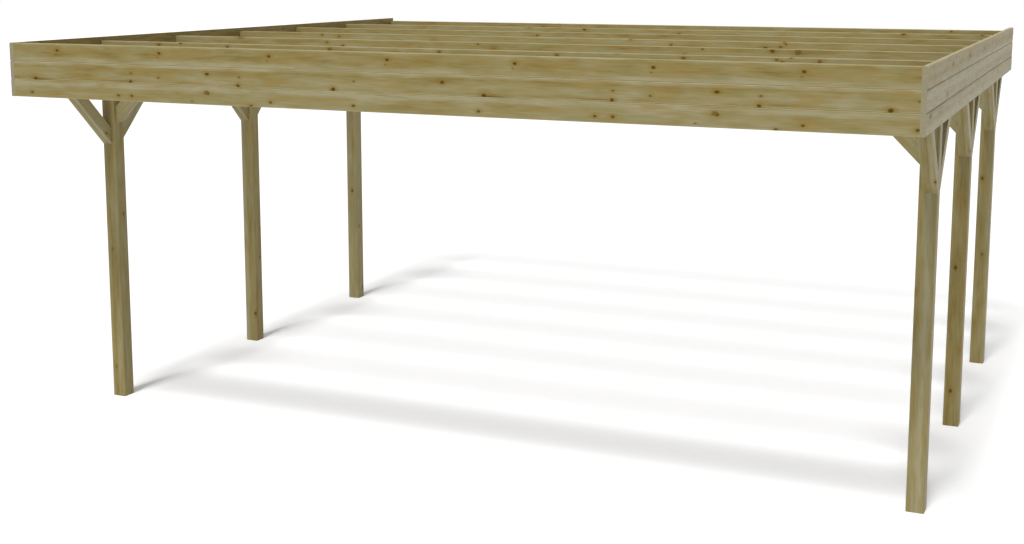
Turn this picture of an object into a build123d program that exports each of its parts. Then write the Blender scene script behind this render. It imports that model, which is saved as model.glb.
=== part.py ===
from build123d import *
import math
import os

# Open timber carport for two cars: six square posts, a beam along each row of
# posts, rafters across the beams, knee braces at every post, and a fascia of
# three boards at the front and down both sides. The back is open.
# The origin is on the ground under the middle of the roof frame: +X is to the
# right as seen from the front, +Y runs to the back, +Z is up. Millimetres.

# posts
post_side = 100
ledge_height = 2207         # ground to the ledge that carries the side beam
post_arris = 5              # planed-off corners of a post
row_pitch = 5460            # left row to right row, centre to centre
bay_pitch = 1650            # from one post of a row to the next, centre to centre

# side beams and rafters
beam_width = 75
beam_depth = 145
rafter_width = 45
rafter_depth = 145
rafters_per_bay = 2
timber_arris = 3            # planed-off long edges of beams, rafters and braces
overhang = 865              # from the end posts' centres to the roof's outline

# knee braces, at 45 degrees
brace_width = 75            # the same as a side beam's, so that their faces line up
brace_depth = 80
brace_reach = 415           # from a post's face to the far end of the brace's head

# fascia
board_width = 113
board_thickness = 30
board_rows = ["bottom", "middle", "top"]
board_chamfer = 5           # on each board's front edges: a V where two boards meet
board_rise = 26             # the fascia's top edge above the rafters

# heights that follow
beam_top = ledge_height + beam_depth
rafter_top = beam_top + rafter_depth
fascia_top = rafter_top + board_rise
fascia_bottom = fascia_top - len(board_rows) * board_width

# places that follow
row_x = row_pitch / 2
outer_x = row_x + post_side / 2             # outer faces of the posts and beams
inner_x = row_x - post_side / 2             # inner faces of the posts
roof_front = -bay_pitch - overhang
roof_back = bay_pitch + overhang
frame_front = roof_front + board_thickness  # the front boards' back face
post_lines = {"front": -bay_pitch, "middle": 0, "back": bay_pitch}
sides = {"left": -1, "right": 1}


def timber(width, depth, length, arris):
    """A planed bar along +Z on its own axis, with its four long edges eased."""
    section = Rectangle(width, depth)
    section = chamfer(section.vertices(), arris)
    return extrude(section, length)


def post():
    """A post of the right row, notched for the beam: a ledge outside, a tongue inside."""
    body = timber(post_side, post_side, beam_top, post_arris)
    notch = Box(beam_width, post_side, beam_depth, align=(Align.MAX, Align.CENTER, Align.MIN))
    return body - Pos(post_side / 2, 0, ledge_height) * notch


def brace():
    """A brace that leans out along +X from a post's face at x = 0.

    It is a bar cut plumb at its foot, against the post, and level at its head,
    where z = 0 is the underside of the timber that it carries.
    """
    rise = brace_depth / math.sqrt(2)
    bar_length = 2 * brace_reach
    bar = timber(brace_depth, brace_width, bar_length, timber_arris)
    bar = Rot(0, 45, 0) * Pos(0, 0, -bar_length / 2) * bar
    bar = Pos((brace_reach - rise) / 2, 0, -(brace_reach - rise) / 2) * bar
    bar = split(bar, bisect_by=Plane.YZ, keep=Keep.TOP)
    return split(bar, bisect_by=Plane.XY, keep=Keep.BOTTOM)


def board(length):
    """A fascia board on edge along +X, with its face to the front at y = 0."""
    profile = Polyline(
        (board_chamfer, 0),
        (board_thickness, 0),
        (board_thickness, board_width),
        (board_chamfer, board_width),
        (0, board_width - board_chamfer),
        (0, board_chamfer),
        close=True,
    )
    return extrude(make_face(Plane.YZ * profile), length, dir=(1, 0, 0))


def make_posts():
    """Six posts, the left row as mirror images of the right one."""
    parts = {}
    for line, y in post_lines.items():
        right = Pos(row_x, y, 0) * post()
        parts[f"post_{line}_right"] = right
        parts[f"post_{line}_left"] = mirror(right, about=Plane.YZ)
    return parts


def make_side_beams():
    """A beam on the ledges of each row, flush with the posts' outer faces."""
    bar = timber(beam_width, beam_depth, roof_back - frame_front, timber_arris)
    bar = Rot(-90, 0, 0) * bar
    parts = {}
    for side, sign in sides.items():
        x = sign * (outer_x - beam_width / 2)
        parts[f"side_beam_{side}"] = Pos(x, frame_front, ledge_height + beam_depth / 2) * bar
    return parts


def rafter_fronts():
    """Front faces of the rafters: one behind the front boards, one flush with the
    beams' back ends, and between them one over each line of posts and in each bay."""
    step = bay_pitch / rafters_per_bay
    first = -bay_pitch + post_side / 2 - brace_width
    inner = [first + i * step for i in range(2 * rafters_per_bay + 1)]
    return [frame_front] + inner + [roof_back - rafter_width]


def make_rafters():
    """Rafters on edge across the beams, from fascia to fascia, numbered from the front."""
    bar = timber(rafter_depth, rafter_width, 2 * outer_x, timber_arris)
    bar = Rot(0, 90, 0) * bar
    parts = {}
    for number, y in enumerate(rafter_fronts(), start=1):
        place = Pos(-outer_x, y + rafter_width / 2, beam_top + rafter_depth / 2)
        parts[f"rafter_{number}"] = place * bar
    return parts


def make_braces():
    """Three braces a post: two along the beam, flush with the posts' outer faces, and
    one inward under the rafter, flush with the post's back face."""
    lean = brace()
    reach = post_side / 2
    parts = {}
    for line, y in post_lines.items():
        for side, sign in sides.items():
            x = sign * (outer_x - brace_width / 2)
            name = f"brace_{line}_{side}"
            parts[f"{name}_forward"] = Pos(x, y - reach, ledge_height) * Rot(0, 0, -90) * lean
            parts[f"{name}_backward"] = Pos(x, y + reach, ledge_height) * Rot(0, 0, 90) * lean
            turn = 180 if sign > 0 else 0
            place = Pos(sign * inner_x, y + reach - brace_width / 2, beam_top)
            parts[f"{name}_inward"] = place * Rot(0, 0, turn) * lean
    return parts


def make_fascia():
    """Three rows of boards at the front and on both sides. The side boards run past the
    ends of the front ones."""
    front = board(2 * outer_x)
    side_board = board(roof_back - roof_front)
    parts = {}
    for row, name in enumerate(board_rows):
        z = fascia_bottom + row * board_width
        parts[f"fascia_front_{name}"] = Pos(-outer_x, roof_front, z) * front
        right = Pos(outer_x + board_thickness, roof_front, z) * Rot(0, 0, 90) * side_board
        parts[f"fascia_right_{name}"] = right
        parts[f"fascia_left_{name}"] = mirror(right, about=Plane.YZ)
    return parts


def main():
    parts = {}
    parts.update(make_posts())
    parts.update(make_side_beams())
    parts.update(make_rafters())
    parts.update(make_braces())
    parts.update(make_fascia())
    os.makedirs("parts", exist_ok=True)
    for name, solid in parts.items():
        export_step(solid, f"parts/{name}.step")


main()
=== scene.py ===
import math
import random

import bpy
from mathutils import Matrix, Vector


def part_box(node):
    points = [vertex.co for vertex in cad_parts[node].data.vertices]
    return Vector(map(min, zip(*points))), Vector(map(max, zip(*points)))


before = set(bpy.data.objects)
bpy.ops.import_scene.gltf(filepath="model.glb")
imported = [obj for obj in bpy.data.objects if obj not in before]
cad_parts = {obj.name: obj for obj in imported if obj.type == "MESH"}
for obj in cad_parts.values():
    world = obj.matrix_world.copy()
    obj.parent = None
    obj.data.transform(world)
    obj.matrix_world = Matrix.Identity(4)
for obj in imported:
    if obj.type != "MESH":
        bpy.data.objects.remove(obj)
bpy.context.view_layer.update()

print("carport loaded:", len(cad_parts), "timbers")


# camera: stands in front of the right half, a little above the roof
viewpoint = {
    "place": (3.692, -9.467, 2.976),    # metres
    "turn": 23.61,                      # degrees to the left of straight back
    "tilt": 8.26,                       # degrees down
    "lens": 49.83,                      # millimetres
    "sensor": 36,
    "shift": -0.094,                    # takes part of the tilt, so that the posts lean less
    "farthest": 400,                    # metres, past the far corners of the floor
}


def placeCamera(settings):
    data = bpy.data.cameras.new("camera")
    data.lens = settings["lens"]
    data.sensor_width = settings["sensor"]
    data.shift_y = settings["shift"]
    data.clip_end = settings["farthest"]
    camera = bpy.data.objects.new("camera", data)
    camera.location = settings["place"]
    camera.rotation_euler = (
        math.radians(90 - settings["tilt"]), 0, math.radians(settings["turn"]))
    bpy.context.scene.collection.objects.link(camera)
    bpy.context.scene.camera = camera


placeCamera(viewpoint)
bpy.context.scene.view_settings.view_transform = "Standard"
print("camera placed")


# small helpers for node trees

nodeLayout = {"perRow": 12, "right": 190, "down": 260}      # in the node editor


def feed(tree, socket, value):
    # a socket is linked, a number or a colour is written on the input
    if isinstance(value, bpy.types.NodeSocket):
        tree.links.new(value, socket)
    elif value is not None:
        socket.default_value = value


def addNode(tree, kind, **settings):
    node = tree.nodes.new(kind)
    row, column = divmod(len(tree.nodes), nodeLayout["perRow"])
    node.location = (nodeLayout["right"] * column, -nodeLayout["down"] * row)
    for name, value in settings.items():
        setattr(node, name, value)
    return node


def calc(tree, operation, a, b=None, c=None, clamp=False):
    node = addNode(tree, "ShaderNodeMath", operation=operation, use_clamp=clamp)
    for socket, value in zip(node.inputs, (a, b, c)):
        feed(tree, socket, value)
    return node.outputs[0]


def times(tree, value, *factors):
    for factor in factors:
        value = calc(tree, "MULTIPLY", value, factor)
    return value


def absolute(tree, value):
    return calc(tree, "ABSOLUTE", value)


def larger(tree, a, b):
    return calc(tree, "MAXIMUM", a, b)


def addShare(tree, value, other, share):
    # value + share * other
    return calc(tree, "MULTIPLY_ADD", other, share, value)


def sway(tree, value, wave, width):
    # a noise from 0 to 1 moves the value up to half the width either way
    return addShare(tree, value, calc(tree, "SUBTRACT", wave, 0.5), width)


def calcVector(tree, operation, a, b=None, scale=None):
    node = addNode(tree, "ShaderNodeVectorMath", operation=operation)
    feed(tree, node.inputs[0], a)
    feed(tree, node.inputs[1], b)
    if scale is not None:
        feed(tree, node.inputs["Scale"], scale)
    isNumber = operation in ("DOT_PRODUCT", "LENGTH")
    return node.outputs["Value" if isNumber else "Vector"]


def ramp(tree, value, low, high, toLow=0.0, toHigh=1.0, smooth=True):
    node = addNode(tree, "ShaderNodeMapRange")
    node.interpolation_type = "SMOOTHSTEP" if smooth else "LINEAR"
    feed(tree, node.inputs["Value"], value)
    feed(tree, node.inputs["From Min"], low)
    feed(tree, node.inputs["From Max"], high)
    feed(tree, node.inputs["To Min"], toLow)
    feed(tree, node.inputs["To Max"], toHigh)
    return node.outputs["Result"]


def colourRamp(tree, value, stops):
    # stops: positions from 0 to 1 in rising order, each with its colour
    node = addNode(tree, "ShaderNodeValToRGB")
    tree.links.new(value, node.inputs[0])
    elements = node.color_ramp.elements
    while len(elements) < len(stops):
        elements.new(0.5)       # moved to its own place below
    for element, (position, colour) in zip(elements, stops):
        element.position = position
        element.color = colour
    return node.outputs["Color"]


def noise(tree, place, scales, detail=2.0, roughness=0.5):
    # scales: repeats to the metre along, across and through the timber
    stretched = calcVector(tree, "MULTIPLY", place, scales)
    node = addNode(tree, "ShaderNodeTexNoise", noise_dimensions="3D")
    node.inputs["Scale"].default_value = 1.0
    node.inputs["Detail"].default_value = detail
    node.inputs["Roughness"].default_value = roughness
    tree.links.new(stretched, node.inputs["Vector"])
    return node.outputs["Fac"]


def split(tree, vector):
    node = addNode(tree, "ShaderNodeSeparateXYZ")
    tree.links.new(vector, node.inputs[0])
    return node.outputs[0], node.outputs[1], node.outputs[2]


def join(tree, x, y, z):
    node = addNode(tree, "ShaderNodeCombineXYZ")
    for socket, value in zip(node.inputs, (x, y, z)):
        feed(tree, socket, value)
    return node.outputs[0]


def mixColour(tree, factor, first, second, blend="MIX"):
    # inputs 6 and 7 and output 2 are the ones for colours
    node = addNode(tree, "ShaderNodeMix", data_type="RGBA", blend_type=blend)
    feed(tree, node.inputs["Factor"], factor)
    feed(tree, node.inputs[6], first)
    feed(tree, node.inputs[7], second)
    return node.outputs[2]


def newGroup(name, inputs, outputs):
    # inputs and outputs: name -> "value", "vector" or "colour"
    kinds = {
        "value": "NodeSocketFloat", "vector": "NodeSocketVector", "colour": "NodeSocketColor"}
    tree = bpy.data.node_groups.new(name, "ShaderNodeTree")
    for label, kind in inputs.items():
        tree.interface.new_socket(label, in_out="INPUT", socket_type=kinds[kind])
    for label, kind in outputs.items():
        tree.interface.new_socket(label, in_out="OUTPUT", socket_type=kinds[kind])
    return tree, addNode(tree, "NodeGroupInput").outputs, addNode(tree, "NodeGroupOutput").inputs


def useGroup(tree, group, **values):
    # keyword upperEdges is the socket "Upper edges"
    node = addNode(tree, "ShaderNodeGroup", node_tree=group)
    for key, value in values.items():
        label = "".join(" " + c.lower() if c.isupper() else c for c in key)
        feed(tree, node.inputs[label[0].upper() + label[1:]], value)
    return node.outputs


# light: an even pale surround and one broad lamp, high up in front of the object

studio = {
    "surround": 0.375,
    "surroundSeen": 1.0,
    "lamp": 2.6,
    "lampAngle": 12,                # degrees across, for the soft edges of the shadows
    "lampAim": (0.01, 0.53, -1.0),
    "floorSeen": (0.97, 0.97, 0.97, 1),
    "floorLit": (0.80, 0.80, 0.80, 1),
    "floorGlow": 0.07,              # seen by the camera only
    "floorHalf": 60,                # metres
}


def setSurround(settings):
    world = bpy.data.worlds.new("studio")
    world.use_nodes = True
    bpy.context.scene.world = world
    tree = world.node_tree
    tree.nodes.clear()
    rays = addNode(tree, "ShaderNodeLightPath").outputs
    seen = larger(tree, rays["Is Camera Ray"], rays["Is Glossy Ray"])
    seen = larger(tree, seen, rays["Is Transmission Ray"])
    strength = ramp(
        tree, seen, 0, 1, settings["surround"], settings["surroundSeen"], smooth=False)
    background = addNode(tree, "ShaderNodeBackground")
    background.inputs["Color"].default_value = (1, 1, 1, 1)
    tree.links.new(strength, background.inputs["Strength"])
    output = addNode(tree, "ShaderNodeOutputWorld")
    tree.links.new(background.outputs[0], output.inputs["Surface"])


def hangLamp(settings):
    data = bpy.data.lights.new("broadLamp", "SUN")
    data.energy = settings["lamp"]
    data.angle = math.radians(settings["lampAngle"])
    lamp = bpy.data.objects.new("broadLamp", data)
    lamp.rotation_euler = Vector(settings["lampAim"]).to_track_quat("-Z", "Y").to_euler()
    bpy.context.scene.collection.objects.link(lamp)


def layFloor(settings):
    half = settings["floorHalf"]
    mesh = bpy.data.meshes.new("studioFloor")
    corners = [(-half, -half, 0), (half, -half, 0), (half, half, 0), (-half, half, 0)]
    mesh.from_pydata(corners, [], [(0, 1, 2, 3)])
    floor = bpy.data.objects.new("studioFloor", mesh)
    bpy.context.scene.collection.objects.link(floor)
    material = bpy.data.materials.new("pale floor")
    material.use_nodes = True
    tree = material.node_tree
    shader = tree.nodes["Principled BSDF"]
    shader.inputs["Roughness"].default_value = 1.0
    shader.inputs["Specular IOR Level"].default_value = 0.0
    rays = addNode(tree, "ShaderNodeLightPath").outputs
    seen = larger(tree, rays["Is Camera Ray"], rays["Is Glossy Ray"])
    colour = mixColour(tree, seen, settings["floorLit"], settings["floorSeen"])
    tree.links.new(colour, shader.inputs["Base Color"])
    shader.inputs["Emission Color"].default_value = (1, 1, 1, 1)
    glow = times(tree, rays["Is Camera Ray"], settings["floorGlow"])
    tree.links.new(glow, shader.inputs["Emission Strength"])
    mesh.materials.append(material)


setSurround(studio)
hangLamp(studio)
layFloor(studio)
print("lamp and floor set")


# groups for the timber; two numbers for a mask are where it starts and where it is full, and
# two more are its values there

def makeTimberSpace():
    # turns a point of the model into metres along, across and through one timber
    tree, given, out = newGroup(
        "timber space",
        {"Start": "vector", "Along": "vector", "Across": "vector"},
        {"Place": "vector", "Facing": "vector"})
    point = addNode(tree, "ShaderNodeTexCoord").outputs["Object"]
    point = calcVector(tree, "SUBTRACT", point, given["Start"])
    normal = addNode(tree, "ShaderNodeNewGeometry").outputs["True Normal"]
    through = calcVector(tree, "CROSS_PRODUCT", given["Along"], given["Across"])
    for source, label in ((point, "Place"), (normal, "Facing")):
        parts = [calcVector(tree, "DOT_PRODUCT", source, axis)
                 for axis in (given["Along"], given["Across"], through)]
        tree.links.new(join(tree, *parts), out[label])
    return tree


# a knot: distances from its middle, in its own radii
knotShape = {
    "fray": 0.9,                        # full width of its outline's wander
    "frayScales": (70, 160, 160),       # repeats to the metre
    "core": (1.15, 0.55),
    "haloStretch": (0.45, 0.50, 0.50),  # the halo is longer than the knot along the grain
    "halo": (1.5, 0.3),
    "trail": 0.42,                      # how dark the streak is that trails off to one side
    "trailWidth": (0.7, 0.1),
    "trailStart": (0.2, 1.2),
    "trailEnd": (14.0, 1.0),
    "bendAlong": (4.0, 0.0),            # as far as the grain bends round it
    "bendAcross": (4.0, 0.3),
    "bendThrough": (3.0, 1.0),
    "bendSoftness": 0.4,
    "bend": -0.9,                       # how far the grain is pushed aside, in radii
}
looseKnots = {
    "seedShift": (7.3, 3.9, 5.7),
    "randomness": 0.85,
    "growth": (0.45, 1.25),             # the smallest and the largest, against the size asked for
    "bend": -0.008,                     # how far the grain is pushed aside, in metres
}


def knotMasks(tree, place, away, strength):
    # the knot and the halo round it, where away is the way from its middle in radii
    rough = noise(tree, place, knotShape["frayScales"], detail=1)
    distance = sway(tree, calcVector(tree, "LENGTH", away), rough, knotShape["fray"])
    core = times(tree, ramp(tree, distance, *knotShape["core"]), strength)
    stretched = calcVector(tree, "MULTIPLY", away, knotShape["haloStretch"])
    halo = ramp(tree, calcVector(tree, "LENGTH", stretched), *knotShape["halo"])
    return core, times(tree, halo, strength)


def bendGrain(tree, place, away, push):
    # the grain swerves past the knot on both sides
    x, y, z = split(tree, away)
    beside = calc(tree, "ADD", absolute(tree, y), knotShape["bendSoftness"])
    side = calc(tree, "DIVIDE", y, beside)
    push = times(tree, push, side,
                 ramp(tree, absolute(tree, x), *knotShape["bendAlong"]),
                 ramp(tree, absolute(tree, y), *knotShape["bendAcross"]),
                 ramp(tree, absolute(tree, z), *knotShape["bendThrough"]))
    return calcVector(tree, "ADD", place, join(tree, 0.0, push, 0.0))


def makeKnot():
    # one knot: bends the grain round itself and adds to the knot and halo masks
    tree, given, out = newGroup(
        "knot",
        {"Place": "vector", "Knot": "value", "Halo": "value",
         "At": "vector", "Size": "vector", "Trail": "value", "Strength": "value"},
        {"Place": "vector", "Knot": "value", "Halo": "value"})
    away = calcVector(tree, "SUBTRACT", given["Place"], given["At"])
    away = calcVector(tree, "DIVIDE", away, given["Size"])
    core, halo = knotMasks(tree, given["Place"], away, given["Strength"])
    x, y = split(tree, away)[:2]
    onward = times(tree, x, given["Trail"])
    trail = times(tree, ramp(tree, absolute(tree, y), *knotShape["trailWidth"]),
                  ramp(tree, onward, *knotShape["trailStart"]),
                  ramp(tree, onward, *knotShape["trailEnd"]),
                  knotShape["trail"], given["Strength"])
    core = larger(tree, core, trail)
    tree.links.new(larger(tree, core, given["Knot"]), out["Knot"])
    tree.links.new(larger(tree, halo, given["Halo"]), out["Halo"])
    push = times(tree, given["Strength"], split(tree, given["Size"])[1], knotShape["bend"])
    tree.links.new(bendGrain(tree, given["Place"], away, push), out["Place"])
    return tree


def makeKnotScatter():
    # knots of mixed sizes, one to a cell, some cells without
    tree, given, out = newGroup(
        "scattered knots",
        {"Place": "vector", "Seed": "value", "Spacing": "vector", "Size": "vector",
         "Share": "value"},
        {"Place": "vector", "Knot": "value", "Halo": "value"})
    offset = calcVector(tree, "SCALE", looseKnots["seedShift"], scale=given["Seed"])
    cells = calcVector(tree, "DIVIDE", given["Place"], given["Spacing"])
    cells = calcVector(tree, "ADD", cells, offset)
    node = addNode(tree, "ShaderNodeTexVoronoi", voronoi_dimensions="3D", feature="F1")
    node.inputs["Scale"].default_value = 1.0
    node.inputs["Randomness"].default_value = looseKnots["randomness"]
    tree.links.new(cells, node.inputs["Vector"])
    chance, growth = split(tree, node.outputs["Color"])[:2]
    away = calcVector(tree, "SUBTRACT", cells, node.outputs["Position"])
    away = calcVector(tree, "MULTIPLY", away, given["Spacing"])
    away = calcVector(tree, "DIVIDE", away, given["Size"])
    growth = ramp(tree, growth, 0, 1, *looseKnots["growth"], smooth=False)
    away = calcVector(tree, "SCALE", away, scale=calc(tree, "DIVIDE", 1.0, growth))
    there = calc(tree, "LESS_THAN", chance, given["Share"])
    core, halo = knotMasks(tree, given["Place"], away, there)
    tree.links.new(core, out["Knot"])
    tree.links.new(halo, out["Halo"])
    push = times(tree, there, looseKnots["bend"])
    tree.links.new(bendGrain(tree, given["Place"], away, push), out["Place"])
    return tree


# a patch of browner heartwood with frayed ends, in halves of its length and of its height
patchShape = {
    "fray": 2.4,                        # full width of the ends' wander
    "frayScales": (6, 90, 90),
    "ends": (1.2, 0.4),
    "sides": (1.15, 0.45),
}


def makeHeartPatch():
    tree, given, out = newGroup(
        "heartwood patch",
        {"Place": "vector", "Heart": "value", "At": "vector", "Size": "vector",
         "Strength": "value"},
        {"Heart": "value"})
    fray = noise(tree, given["Place"], patchShape["frayScales"], detail=3, roughness=0.6)
    away = calcVector(tree, "SUBTRACT", given["Place"], given["At"])
    x, y = split(tree, calcVector(tree, "DIVIDE", away, given["Size"]))[:2]
    x = sway(tree, absolute(tree, x), fray, patchShape["fray"])
    mask = times(tree, ramp(tree, x, *patchShape["ends"]),
                 ramp(tree, absolute(tree, y), *patchShape["sides"]), given["Strength"])
    tree.links.new(larger(tree, mask, given["Heart"]), out["Heart"])
    return tree


# finish of all the timber, as linear colours
pine = {
    "tones": [                              # from the brownest wood to the palest
        (0.00, (0.196, 0.136, 0.038, 1)),
        (0.26, (0.252, 0.190, 0.061, 1)),
        (0.50, (0.282, 0.233, 0.095, 1)),
        (0.72, (0.308, 0.263, 0.130, 1)),
        (1.00, (0.354, 0.313, 0.182, 1))],
    "fresh": (0.540, 0.475, 0.288, 1),      # painted light on eased edges
    "green": (0.242, 0.235, 0.104, 1),      # cast of the pressure treatment
    "heart": (0.305, 0.212, 0.066, 1),
    "halo": (0.252, 0.152, 0.026, 1),
    "rim": (0.152, 0.085, 0.012, 1),
    "knot": (0.092, 0.054, 0.002, 1),
    "end": (0.320, 0.288, 0.182, 1),        # sawn across the grain
    "roughness": (0.25, 0.75, 0.40, 0.56),  # over the streaks, from dark ones to pale ones
    "endRoughness": 0.1,                    # added on sawn ends
    "gloss": 0.2,                           # specular level
    "paleness": 0.5,                        # where there are no stripes
    "bump": 0.25,
    "bumpDepth": 0.0006,                    # metres
}

# noises of the grain: repeats to the metre along, across and through
figure = {
    "wander": (0.7, 5, 5),
    "stripeWander": (1.3, 12, 12),
    "bands": (0.13, 26, 26),
    "patches": (4.5, 21, 21),
    "streaks": (7.0, 100, 100),
    "fibres": (14, 800, 800),
    "hues": (4.5, 38, 38),
}
seedShift = (1.37, 0.71, 0.93)              # metres from one seed to the next
grainWander = 0.028                         # full width in metres, as is the next
stripeWander = 0.012

# year rings: darker latewood that ends sharply, stronger in some years than in others
rings = {
    "perMetre": 210,
    "lean": 0.012,                          # metres across for each metre along
    "darkens": (0.35, 0.92),                # shares of one year
    "ends": (1.0, 0.93),
    "change": (0.73, 1, 1),                 # repeats to the year, of poor years and good ones
    "strength": (0.3, 0.7, 0.35, 1.0),      # over the years, from poor ones to good ones
}

# what each adds to the tone, where 1 is the way from the brownest wood to the palest
toneShare = {"streaks": 0.75, "fibres": 0.20, "latewood": -0.10, "heart": -0.12, "halo": -0.12}

# what each adds to the height of the bump
bumpShare = {"streaks": 0.4, "fibres": 0.5, "latewood": 0.35, "knot": 0.5}

# how far each colour takes over: a share of its mask, or the mask's own numbers
colourShare = {
    "green": (0.45, 0.22, 0.0, 0.9),
    "warm": (0.53, 0.76, 0.0, 0.8),
    "heart": 0.55,
    "halo": 0.52,
    "rim": (0.0, 0.5, 0.0, 0.8),
    "knot": (0.45, 0.95),
    "endRings": (0.0, 1.0, 0.98, 0.70),
}

# largest part of the normal, on an eased edge and on a plain face
easedNormal = 0.8
plainNormal = 0.95
edgeTurn = 0.1      # a normal that leans across by more is an upper edge's, or back, a lower one's


def addRings(tree, given, wander):
    # mask of the latewood
    centred = calcVector(tree, "SUBTRACT", given["Place"], given["Pith"])
    along, across, through = split(tree, centred)
    across = addShare(tree, calc(tree, "ADD", across, wander), along, rings["lean"])
    radius = calcVector(tree, "LENGTH", join(tree, 0.0, across, through))
    years = times(tree, radius, rings["perMetre"])
    year = calc(tree, "FRACT", years)
    whichYear = join(tree, calc(tree, "FLOOR", years), 0.0, given["Seed"])
    good = ramp(tree, noise(tree, whichYear, rings["change"], detail=0), *rings["strength"])
    return times(tree, ramp(tree, year, *rings["darkens"]), ramp(tree, year, *rings["ends"]), good)


def addEdges(tree, given):
    # masks of the sawn ends and of the eased edges, with painted light on the edges above 0 and
    # painted shade in the joints where the mask is below 0
    facing = given["Facing"]
    x, y, z = split(tree, calcVector(tree, "ABSOLUTE", facing))
    largest = larger(tree, x, larger(tree, y, z))
    ends = ramp(tree, x, easedNormal, plainNormal)
    edgeLightAndShade = ramp(tree, split(tree, facing)[1], edgeTurn, -edgeTurn,
                given["Upper edges"], given["Lower edges"])
    return ends, times(tree, ramp(tree, largest, plainNormal, easedNormal), edgeLightAndShade)


def makePine():
    # pressure-treated pine: year rings round a pith, streaks, fibres, knots, eased edges
    tree, given, out = newGroup(
        "treated pine",
        {"Place": "vector", "Facing": "vector", "Knot": "value", "Halo": "value",
         "Heart": "value", "Paleness": "value", "Seed": "value", "Pith": "vector",
         "Bands": "value", "Patches": "value", "Upper edges": "value",
         "Lower edges": "value"},
        {"Color": "colour", "Roughness": "value", "Height": "value"})
    offset = calcVector(tree, "SCALE", seedShift, scale=given["Seed"])
    place = calcVector(tree, "ADD", given["Place"], offset)

    # the grain wanders a few millimetres over each metre
    wander = sway(tree, 0.0, noise(tree, place, figure["wander"], detail=1), grainWander)
    grain = calcVector(tree, "ADD", place, join(tree, 0.0, wander, wander))
    latewood = addRings(tree, given, wander)
    ends, edgeLightAndShade = addEdges(tree, given)

    # streaks from broad to fine
    bands = noise(tree, grain, figure["bands"])
    patches = noise(tree, grain, figure["patches"])
    streaks = noise(tree, grain, figure["streaks"], detail=3)
    fibres = noise(tree, grain, figure["fibres"], detail=1)
    hues = noise(tree, grain, figure["hues"], roughness=0.6)

    tone = sway(tree, given["Paleness"], bands, given["Bands"])
    tone = sway(tree, tone, patches, given["Patches"])
    tone = sway(tree, tone, streaks, toneShare["streaks"])
    tone = sway(tree, tone, fibres, toneShare["fibres"])
    tone = addShare(tree, tone, latewood, toneShare["latewood"])
    tone = addShare(tree, tone, given["Heart"], toneShare["heart"])
    tone = addShare(tree, tone, given["Halo"], toneShare["halo"])
    # painted shade in the joints, where the edge mask is below 0
    tone = calc(tree, "ADD", tone, calc(tree, "MINIMUM", edgeLightAndShade, 0.0))
    colour = colourRamp(tree, tone, pine["tones"])

    # the green cast of the treatment and orange heartwood, in clouds
    colour = mixColour(tree, ramp(tree, hues, *colourShare["green"]), colour, pine["green"])
    warm = larger(tree, ramp(tree, hues, *colourShare["warm"]),
                  times(tree, given["Heart"], colourShare["heart"]))
    colour = mixColour(tree, warm, colour, pine["heart"])
    # painted light on the eased edges
    colour = mixColour(tree, larger(tree, edgeLightAndShade, 0.0), colour, pine["fresh"])

    # a warm glow round knots, the knots themselves, and end grain
    colour = mixColour(tree, times(tree, given["Halo"], colourShare["halo"]), colour, pine["halo"])
    colour = mixColour(tree, ramp(tree, given["Knot"], *colourShare["rim"]), colour, pine["rim"])
    colour = mixColour(tree, ramp(tree, given["Knot"], *colourShare["knot"]), colour, pine["knot"])
    endTone = ramp(tree, latewood, *colourShare["endRings"])
    endTone = join(tree, endTone, endTone, endTone)
    endColour = mixColour(tree, 1.0, pine["end"], endTone, "MULTIPLY")
    tree.links.new(mixColour(tree, ends, colour, endColour), out["Color"])

    rough = ramp(tree, streaks, *pine["roughness"])
    rough = calc(tree, "MULTIPLY_ADD", ends, pine["endRoughness"], rough, clamp=True)
    tree.links.new(rough, out["Roughness"])

    height = addShare(tree, times(tree, fibres, bumpShare["fibres"]), latewood,
                      bumpShare["latewood"])
    height = addShare(tree, height, streaks, bumpShare["streaks"])
    height = addShare(tree, height, given["Knot"], bumpShare["knot"])
    tree.links.new(height, out["Height"])
    return tree


timberSpace = makeTimberSpace()
knot = makeKnot()
knotScatter = makeKnotScatter()
heartPatch = makeHeartPatch()
treatedPine = makePine()
print("pine ready")


# one material to a timber: metres along from its start, across and through from its middle,
# and across from its edge where fromEdge is set; bands and patches are how much its tone
# varies, edges how much painted light its upper and lower eased edges get, or painted shade
# below 0 in the joints, and pithSpans where the middle of its year rings may lie, across and
# through

rightThrough = 9                        # metres, deeper than any timber
inwardOf = {"left": 1, "right": -1}     # which way along X is towards the middle
random.seed(7)


def repeatAlong(tree, place, settings):
    # the same run of knots and patches comes again along a long board
    x, y, z = split(tree, place)
    x = calc(tree, "WRAP", x, settings["from"] + settings["repeat"], settings["from"])
    return join(tree, x, y, z)


def addStripes(tree, place, width, stripes):
    # paler and browner stripes along the timber, placed in metres from its edge
    wave = noise(tree, place, figure["stripeWander"], detail=1)
    y = sway(tree, split(tree, place)[1], wave, stripeWander)
    stops = [(position / width, (value, value, value, 1)) for position, value in stripes]
    return colourRamp(tree, calc(tree, "DIVIDE", y, width), stops)


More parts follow.
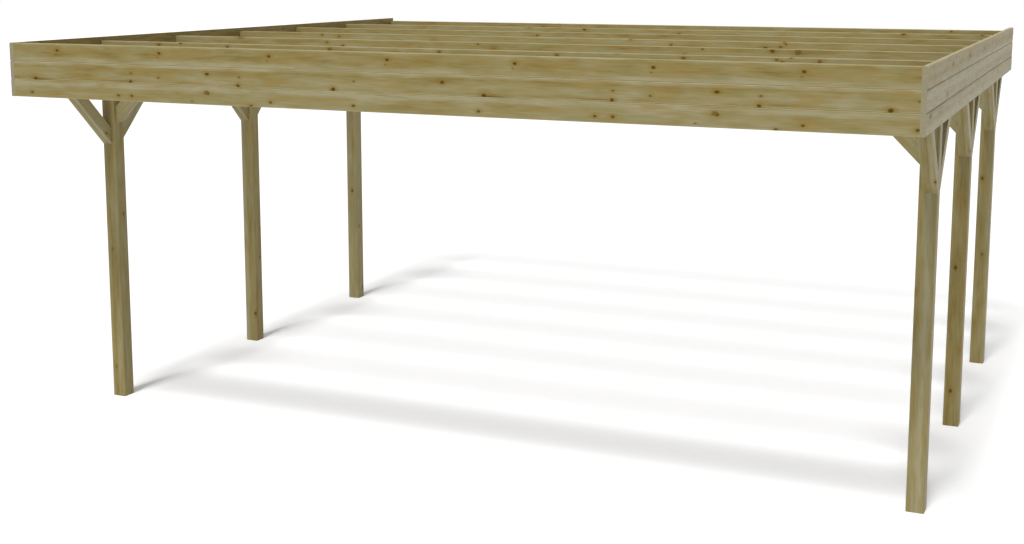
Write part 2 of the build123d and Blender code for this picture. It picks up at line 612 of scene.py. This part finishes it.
def makeTimber(name, start, along, across, width, settings):
    material = bpy.data.materials.new(name)
    material.use_nodes = True
    tree = material.node_tree
    shader = tree.nodes["Principled BSDF"]
    shader.inputs["Specular IOR Level"].default_value = settings.get("gloss", pine["gloss"])
    space = useGroup(tree, timberSpace, start=start, along=along, across=across)
    place = space["Place"]
    knots, halo, heart, paleness = 0.0, 0.0, 0.0, pine["paleness"]

    marked = repeatAlong(tree, place, settings) if "repeat" in settings else place
    if "stripes" in settings:
        paleness = addStripes(tree, place, width, settings["stripes"])
    if "inside" in settings:
        # painted shade: browner on the inner face, which the roof shades
        depth = times(tree, split(tree, place)[2], settings["inward"])
        paleness = ramp(tree, depth, *settings["insideFrom"], paleness, settings["inside"])
    for x, y, length, height, strength in settings.get("heartwood", []):
        heart = useGroup(tree, heartPatch, place=marked, heart=heart, at=(x, y, 0),
                         size=(length / 2, height / 2, 1), strength=strength)["Heart"]
    bend = marked
    for x, y, z, length, height, depth, strength, trail in settings.get("knots", []):
        made = useGroup(tree, knot, place=bend, knot=knots, halo=halo, at=(x, y, z),
                        size=(length / 2, height / 2, depth / 2), trail=trail,
                        strength=strength)
        bend, knots, halo = made["Place"], made["Knot"], made["Halo"]
    if settings.get("knots"):
        place = calcVector(tree, "ADD", place, calcVector(tree, "SUBTRACT", bend, marked))
    if "scatter" in settings:
        loose = settings["scatter"]
        made = useGroup(tree, knotScatter, place=place, seed=settings["seed"],
                        spacing=loose["spacing"], size=loose["size"], share=loose["share"])
        place = made["Place"]
        knots = larger(tree, made["Knot"], knots)
        halo = larger(tree, made["Halo"], halo)

    wood = useGroup(tree, treatedPine, place=place, facing=space["Facing"], knot=knots,
                    halo=halo, heart=heart, paleness=paleness, seed=settings["seed"],
                    pith=settings["pith"], bands=settings["bands"],
                    patches=settings["patches"], upperEdges=settings["edges"][0],
                    lowerEdges=settings["edges"][1])
    bump = addNode(tree, "ShaderNodeBump")
    bump.inputs["Strength"].default_value = pine["bump"]
    bump.inputs["Distance"].default_value = pine["bumpDepth"]
    tree.links.new(wood["Height"], bump.inputs["Height"])
    tree.links.new(wood["Color"], shader.inputs["Base Color"])
    tree.links.new(wood["Roughness"], shader.inputs["Roughness"])
    tree.links.new(bump.outputs[0], shader.inputs["Normal"])
    return material


def finishTimber(node, along, across, settings):
    low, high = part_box(node)
    middle = (Vector(low) + Vector(high)) / 2
    half = (Vector(high) - Vector(low)) / 2
    along, across = Vector(along).normalized(), Vector(across)
    length = 2 * sum(abs(a * h) for a, h in zip(along, half))
    width = 2 * sum(abs(a * h) for a, h in zip(across, half))
    start = middle - along * length / 2
    if settings.get("fromEdge"):
        start -= across * width / 2
    material = makeTimber(
        node.replace("_", " ") + " pine", start, along, across, width, settings)
    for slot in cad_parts[node].material_slots:
        slot.material = material


def throughKnot(x, y, length, height, strength, trail=0):
    # a branch right through the timber: along, across, its size, how dark, and which way it trails
    return x, y, 0, length, height, rightThrough, strength, trail


def nextTimber(settings):
    # another seed and another pith for the next timber of its kind
    settings["seed"] += settings["seedStep"]
    settings["pith"] = (0, *(random.uniform(*span) for span in settings["pithSpans"]))


# front boards: in metres from the left and from the board's lower edge

frontFinish = {
    "fromEdge": True, "bands": 0.15, "patches": 1.2, "gloss": 0.1,
    "edges": (0.12, 1.0),               # upper and lower painted light; lower edges face down into shade
}
# knots: along, up, length, height, how dark, and which way it trails; heartwood: along, up,
# length, height and how brown; stripes: up and how pale
frontBoards = {
    "top": {
        "seed": 3.1, "pith": (0, 0.02, 0.05), "repeat": 0.775, "from": 0.15,
        "knots": [
            (0.350, 0.072, 0.028, 0.018, 0.9),
            (0.338, 0.047, 0.014, 0.011, 0.4)],
        "heartwood": [(0.510, 0.062, 0.36, 0.070, 0.7)],
        "stripes": [
            (0.000, 0.80), (0.017, 0.76), (0.028, 0.58), (0.046, 0.44), (0.094, 0.42),
            (0.103, 0.54), (0.113, 0.58)],
    },
    "middle": {
        "seed": 8.6, "pith": (0, 0.05, 0.07), "repeat": 3.096, "from": 0.05,
        "knots": [
            (0.170, 0.004, 0.036, 0.030, 1.0, 1),
            (0.905, 0.009, 0.028, 0.018, 0.9, -0.5),
            (0.910, 0.058, 0.020, 0.012, 0.55),
            (1.115, 0.038, 0.022, 0.014, 0.6),
            (1.465, 0.070, 0.030, 0.019, 1.0),
            (1.682, 0.009, 0.025, 0.020, 0.9),
            (1.690, 0.057, 0.020, 0.012, 0.55),
            (2.325, 0.010, 0.029, 0.022, 1.0),
            (2.460, 0.058, 0.020, 0.012, 0.5),
            (3.015, 0.070, 0.027, 0.018, 1.0)],
        "heartwood": [
            (1.180, 0.050, 0.20, 0.080, 0.8),
            (1.935, 0.044, 0.18, 0.080, 0.9),
            (2.730, 0.050, 0.22, 0.080, 0.6)],
        "stripes": [
            (0.000, 0.48), (0.014, 0.48), (0.026, 0.64), (0.046, 0.66), (0.068, 0.48),
            (0.088, 0.38), (0.099, 0.80), (0.113, 0.84)],
    },
    "bottom": {
        "seed": 14.2, "pith": (0, 0.06, 0.04), "repeat": 3.096, "from": 0.0,
        "knots": [
            (0.138, 0.033, 0.024, 0.017, 0.8),
            (0.810, 0.034, 0.024, 0.016, 0.8),
            (0.910, 0.034, 0.024, 0.016, 0.8),
            (1.355, 0.019, 0.020, 0.010, 0.4),
            (1.456, 0.073, 0.044, 0.032, 0.45),
            (1.470, 0.069, 0.018, 0.016, 0.7),
            (1.770, 0.007, 0.022, 0.012, 0.8),
            (1.905, 0.031, 0.024, 0.016, 0.8),
            (2.455, 0.033, 0.025, 0.016, 0.8)],
        "heartwood": [
            (0.500, 0.056, 0.36, 0.034, 0.7),
            (1.990, 0.052, 0.26, 0.034, 0.8)],
        "stripes": [
            (0.000, 0.76), (0.016, 0.64), (0.030, 0.60), (0.060, 0.58), (0.070, 0.58),
            (0.082, 0.84), (0.096, 1.00), (0.105, 0.70), (0.113, 0.55)],
        "edges": (0.12, 0.5),
    },
}


def finishFrontBoards():
    for row, board in frontBoards.items():
        settings = {**frontFinish, **board}
        settings["knots"] = [throughKnot(*each) for each in board["knots"]]
        finishTimber("fascia_front_" + row, (1, 0, 0), (0, 0, 1), settings)


finishFrontBoards()
print("front boards done")


# side boards: striped outside, with painted shade on the inner faces and in the joints

sideBoards = {
    "seed": 21.0, "seedStep": 2.3, "pithSpans": ((-0.04, 0.04), (0.03, 0.09)),
    # edges below 0 are painted shade in the joints
    "fromEdge": True, "bands": 1.3, "patches": 0.9, "edges": (-0.4, -0.4),
    # painted shade on the inner faces under the roof
    "inside": 0.10,
    "insideFrom": (0.005, 0.013),       # metres inwards from the board's middle
    "scatter": {"spacing": (0.55, 0.10, 0.5), "size": (0.015, 0.007, 0.3), "share": 0.6},
    "knotForm": (0.075, 0.032, 0.8),    # length, height and how dark
}
# stripes: up from the board's lower edge, and how pale
sideStripes = {
    "bottom": [
        (0.000, 0.75), (0.016, 1.02), (0.034, 1.05), (0.048, 0.72), (0.062, 0.52),
        (0.113, 0.50)],
    "middle": [
        (0.000, 0.62), (0.030, 0.52), (0.056, 0.66), (0.076, 0.98), (0.092, 0.82),
        (0.113, 0.78)],
    "top": [
        (0.000, 0.98), (0.012, 0.84), (0.026, 0.50), (0.045, 0.28), (0.070, 0.34),
        (0.100, 0.48), (0.113, 0.70)],
}
# knots: along from the front, and up from the board's lower edge
sideKnots = {
    "right_bottom": [(0.14, 0.089), (3.80, 0.068)],
    "right_middle": [(0.80, 0.036)],
    "right_top": [(1.00, 0.065), (1.86, 0.065), (2.71, 0.065)],
}


def finishSideBoards():
    for side, inward in inwardOf.items():
        sideBoards["inward"] = inward
        for row, stripes in sideStripes.items():
            nextTimber(sideBoards)
            sideBoards["stripes"] = stripes
            sideBoards["knots"] = [throughKnot(x, y, *sideBoards["knotForm"])
                                   for x, y in sideKnots.get(f"{side}_{row}", [])]
            finishTimber(f"fascia_{side}_{row}", (0, 1, 0), (0, 0, 1), sideBoards)


finishSideBoards()
print("side boards done")


# side beams and rafters

sideBeams = {
    "seed": 40.0, "seedStep": 1.9, "pith": (0, 0.02, 0.05),
    "bands": 0.9, "patches": 1.0, "edges": (0.0, 0.1),
    "scatter": {"spacing": (0.5, 0.08, 0.08), "size": (0.018, 0.009, 0.02), "share": 0.7},
}
rafters = {
    "count": 7, "seed": 50.0, "seedStep": 1.7, "pithSpans": ((-0.04, 0.04), (0.03, 0.09)),
    "bands": 0.9, "patches": 1.0, "edges": (0.0, 0.1),
    "scatter": {"spacing": (0.5, 0.08, 0.3), "size": (0.018, 0.012, 0.2), "share": 0.5},
}
# branches that cross a rafter near its top: along, up from its middle, size and how dark
rafterKnots = {
    2: [(0.480, 0.056, 0.036, 0.022, 0.6), (1.030, 0.054, 0.030, 0.020, 0.6),
        (1.805, 0.054, 0.034, 0.022, 0.6), (2.580, 0.054, 0.034, 0.022, 0.6),
        (3.355, 0.054, 0.034, 0.022, 0.6), (4.130, 0.055, 0.036, 0.022, 0.6),
        (4.905, 0.053, 0.036, 0.024, 0.6), (4.665, 0.058, 0.026, 0.016, 0.5)],
    3: [(1.290, 0.050, 0.030, 0.018, 0.5), (2.456, 0.060, 0.024, 0.012, 0.7),
        (4.006, 0.061, 0.022, 0.012, 0.7), (4.606, 0.054, 0.052, 0.034, 0.6)],
    4: [(0.900, 0.050, 0.030, 0.020, 0.5), (3.544, 0.040, 0.030, 0.020, 0.5),
        (4.310, 0.040, 0.030, 0.018, 0.6)],
    5: [(2.200, 0.045, 0.034, 0.020, 0.6)],
    6: [(3.100, 0.040, 0.034, 0.020, 0.5)],
}


def finishRoofFrame():
    for side in inwardOf:
        sideBeams["seed"] += sideBeams["seedStep"]
        finishTimber(f"side_beam_{side}", (0, 1, 0), (0, 0, 1), sideBeams)
    for number in range(1, rafters["count"] + 1):
        nextTimber(rafters)
        rafters["knots"] = [throughKnot(*each) for each in rafterKnots.get(number, [])]
        finishTimber(f"rafter_{number}", (1, 0, 0), (0, 0, 1), rafters)


finishRoofFrame()
print("side beams and rafters done")


# posts: along is up, and across runs from the left side to the right

posts = {
    "seed": 70.0, "seedStep": 2.9, "pithSpans": ((0.02, 0.08), (-0.03, 0.03)),
    "fromEdge": True, "bands": 0.6, "patches": 1.1, "edges": (0.1, 0.1),
    "knotForm": (0.032, 0.022, 0.022),      # length, height and depth
    "scatter": {"spacing": (0.45, 0.09, 0.09), "size": (0.014, 0.010, 0.010), "share": 0.25},
}
# stripes: from the left side, and how pale
postStripes = {
    "front_left": [(0.0, 0.85), (0.02, 0.57), (0.04, 0.41), (0.06, 0.57), (0.1, 0.57)],
    "front_right": [
        (0.0, 0.45), (0.02, 0.51), (0.045, 0.82), (0.062, 0.97), (0.085, 0.62), (0.1, 0.43)],
    "middle_left": [(0.0, 1.02), (0.028, 0.89), (0.045, 0.61), (0.07, 0.39), (0.1, 0.47)],
    "middle_right": [(0.0, 0.52), (0.02, 0.37), (0.05, 0.25), (0.08, 0.31), (0.1, 0.49)],
    "back_left": [(0.0, 0.85), (0.02, 0.71), (0.05, 0.59), (0.1, 0.65)],
    "back_right": [(0.0, 0.51), (0.03, 0.43), (0.06, 0.47), (0.1, 0.75)],
}
# knots: up from the foot, from the left side, back from the middle, and how dark
postKnots = {
    "front_left": [
        (1.052, 0.041, -0.05, 0.4), (0.213, 0.036, -0.05, 0.4), (1.297, 0.100, 0.010, 0.5)],
    "middle_left": [
        (0.227, 0.092, -0.05, 0.9), (0.907, 0.100, 0.044, 0.8), (0.678, 0.100, 0.020, 0.5),
        (0.069, 0.100, 0.046, 0.6)],
    "middle_right": [(1.064, 0.038, -0.05, 1.0), (0.238, 0.040, -0.05, 0.9)],
    "back_left": [
        (0.668, 0.100, -0.016, 0.7), (0.084, 0.100, 0.030, 0.8), (0.995, 0.052, -0.05, 1.0)],
    "back_right": [(1.427, 0.030, -0.05, 1.0), (0.849, 0.054, -0.05, 0.5)],
}


def finishPosts():
    for place, stripes in postStripes.items():
        nextTimber(posts)
        posts["stripes"] = stripes
        posts["knots"] = [(x, y, z, *posts["knotForm"], strength, 0)
                          for x, y, z, strength in postKnots.get(place, [])]
        finishTimber("post_" + place, (0, 0, 1), (1, 0, 0), posts)


finishPosts()
print("posts done")


# braces: along from the foot to the head

braces = {
    "seed": 100.0, "seedStep": 1.3, "pithSpans": ((0, 0.08), (-0.04, 0.04)),
    "fromEdge": True, "bands": 0.8, "patches": 1.1, "edges": (0.2, 0.2),
    # a dark streak along the middle and paler sapwood beside it
    "stripes": [
        (0.000, 0.70), (0.022, 0.62), (0.033, 0.54), (0.041, 0.24), (0.049, 0.85),
        (0.062, 0.92), (0.075, 0.70)],
    "scatter": {"spacing": (0.3, 0.08, 0.08), "size": (0.014, 0.010, 0.012), "share": 0.4},
}
# knots: along, across and through, length, height and depth, how dark, and no trail
braceKnots = {
    "front_right_forward": [(0.103, 0.070, 0.0, 0.024, 0.016, 0.024, 0.8, 0)],
    "front_left_forward": [(0.093, 0.075, 0.018, 0.024, 0.016, 0.018, 0.8, 0)],
}


def finishBraces():
    for line in ("front", "middle", "back"):
        for side, inward in inwardOf.items():
            for lean, along, across in (
                    ("forward", (0, -1, 1), (1, 0, 0)),
                    ("backward", (0, 1, 1), (1, 0, 0)),
                    ("inward", (inward, 0, 1), (0, 1, 0))):
                nextTimber(braces)
                name = f"{line}_{side}_{lean}"
                braces["knots"] = braceKnots.get(name, [])
                finishTimber("brace_" + name, along, across, braces)


finishBraces()
print("timber finished")
